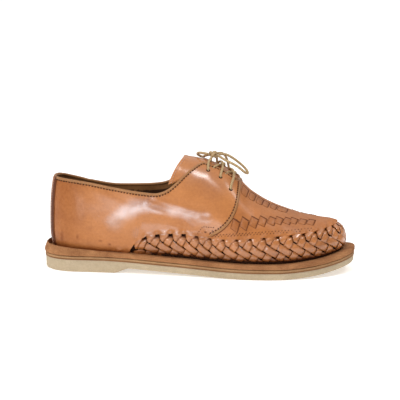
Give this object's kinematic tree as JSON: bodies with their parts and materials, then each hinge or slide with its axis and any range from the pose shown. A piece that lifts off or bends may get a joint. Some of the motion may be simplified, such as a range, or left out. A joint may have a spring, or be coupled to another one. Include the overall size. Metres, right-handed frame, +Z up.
{
  "type": "woven leather lace-up shoe",
  "caption": "Tan leather derby shoe with a woven forefoot band, rows of slotted strips on the vamp, bound collar, leather welt and a low-heeled cream rubber sole.",
  "frame": {"origin": "centre of the sole's plan box, on the floor", "axes": "+X to the toe, -Y to the lateral side, +Z up"},
  "size_m": [0.3026, 0.1044, 0.1152],
  "materials": {
    "upper_leather": "polished smooth grain, orange tan",
    "welt_leather": "raw fuzzy edge",
    "sole_leather": "raw cut edge, greyer tan",
    "lining_leather": "matt, worn dark brown",
    "sole_rubber": "matt cream",
    "lace_cotton": "waxed round cord, beige"
  },
  "bodies": {
    "root": {"outsole": "sole_rubber", "midsole": "sole_leather", "welt": "welt_leather", "insole": "lining_leather", "upper": "upper_leather", "backstay": "upper_leather", "tongue": "upper_leather", "lace_crossings": "lace_cotton", "lace_knot": "lace_cotton", "lace_loop_front": "lace_cotton", "lace_loop_rear": "lace_cotton", "lace_end_long": "lace_cotton", "lace_end_short": "lace_cotton"}
  },
  "joints": []
}
